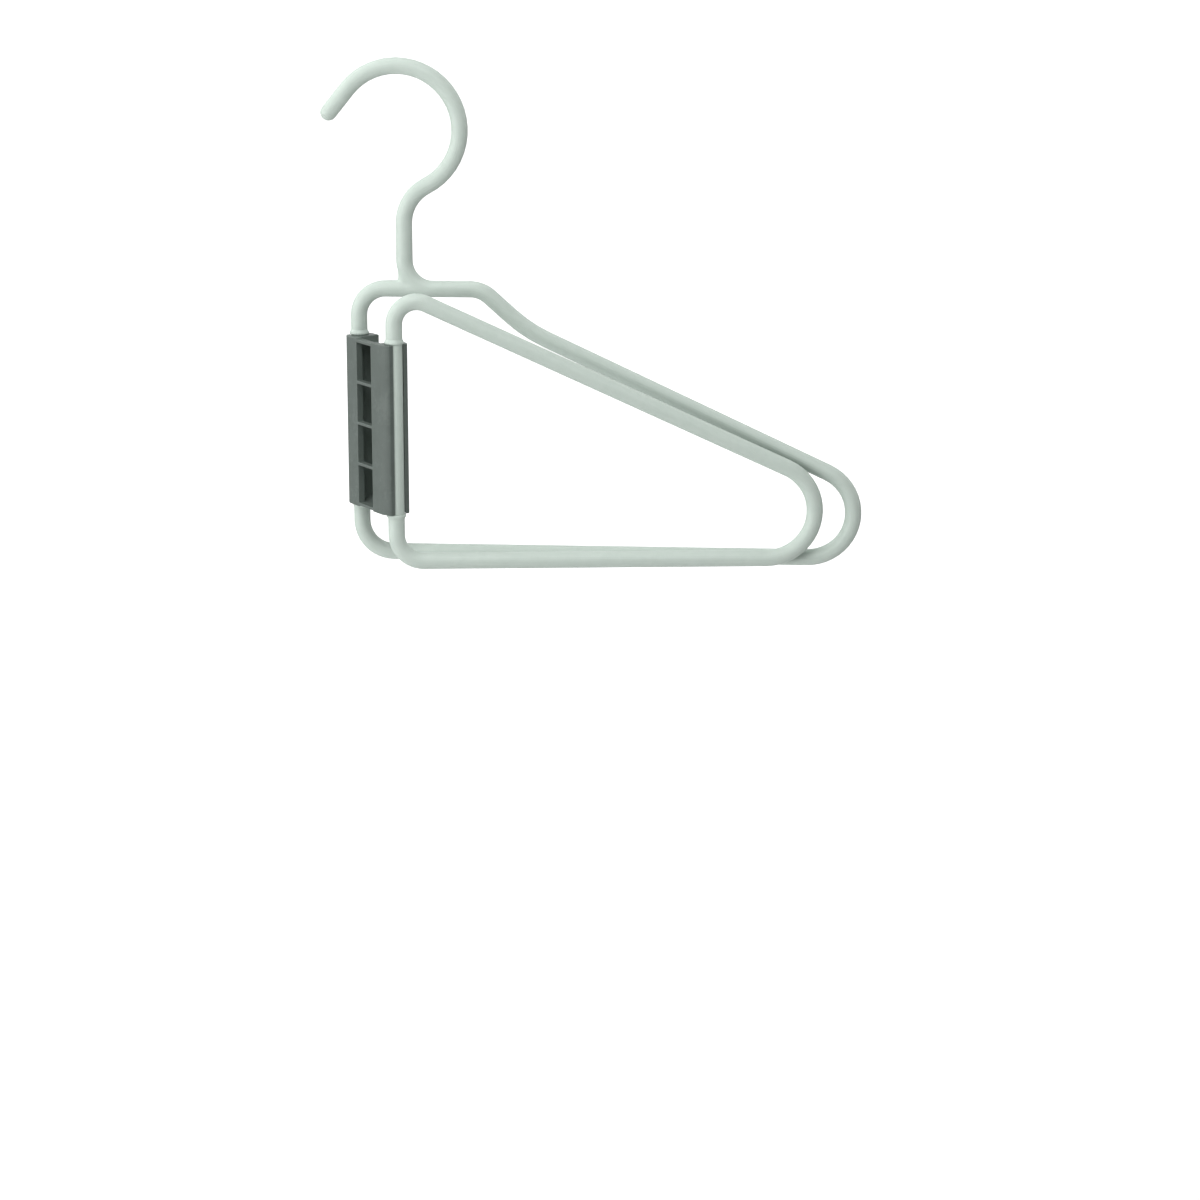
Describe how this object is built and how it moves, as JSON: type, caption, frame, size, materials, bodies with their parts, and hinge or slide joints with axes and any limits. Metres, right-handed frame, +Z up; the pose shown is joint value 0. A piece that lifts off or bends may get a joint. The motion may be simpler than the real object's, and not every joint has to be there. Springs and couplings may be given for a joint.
{
  "type": "folding travel hanger",
  "caption": "Folding travel hanger: a bent tube wing with a hook and a smaller tube wing that swings on a clip-on moulded hinge spine, shown folded.",
  "frame": {"origin": "the point inside the top of the hook that rests on a rail", "axes": "+Z up, +X along the hook wing towards its far end, -Y towards the front wing"},
  "size_m": [0.227, 0.0334, 0.2128],
  "materials": {
    "sage_powder_coat": "matte",
    "grey_green_plastic": "matte"
  },
  "bodies": {
    "hook_wing_body": {"hook_wing": "sage_powder_coat"},
    "hinge_spine_body": {"hinge_spine": "grey_green_plastic"},
    "fold_wing_body": {"fold_wing": "sage_powder_coat"}
  },
  "joints": [
    {"name": "spine_swing", "type": "hinge", "parent": "hook_wing_body", "child": "hinge_spine_body", "pos_m": [-0.0169, 0, -0.14475], "axis": [0, 0, -1], "range_deg": [0, 36.6]},
    {"name": "wing_swing", "type": "hinge", "parent": "hinge_spine_body", "child": "fold_wing_body", "pos_m": [0.00072, -0.02372, -0.14475], "axis": [0, 0, -1], "range_deg": [0, 149.2]}
  ]
}
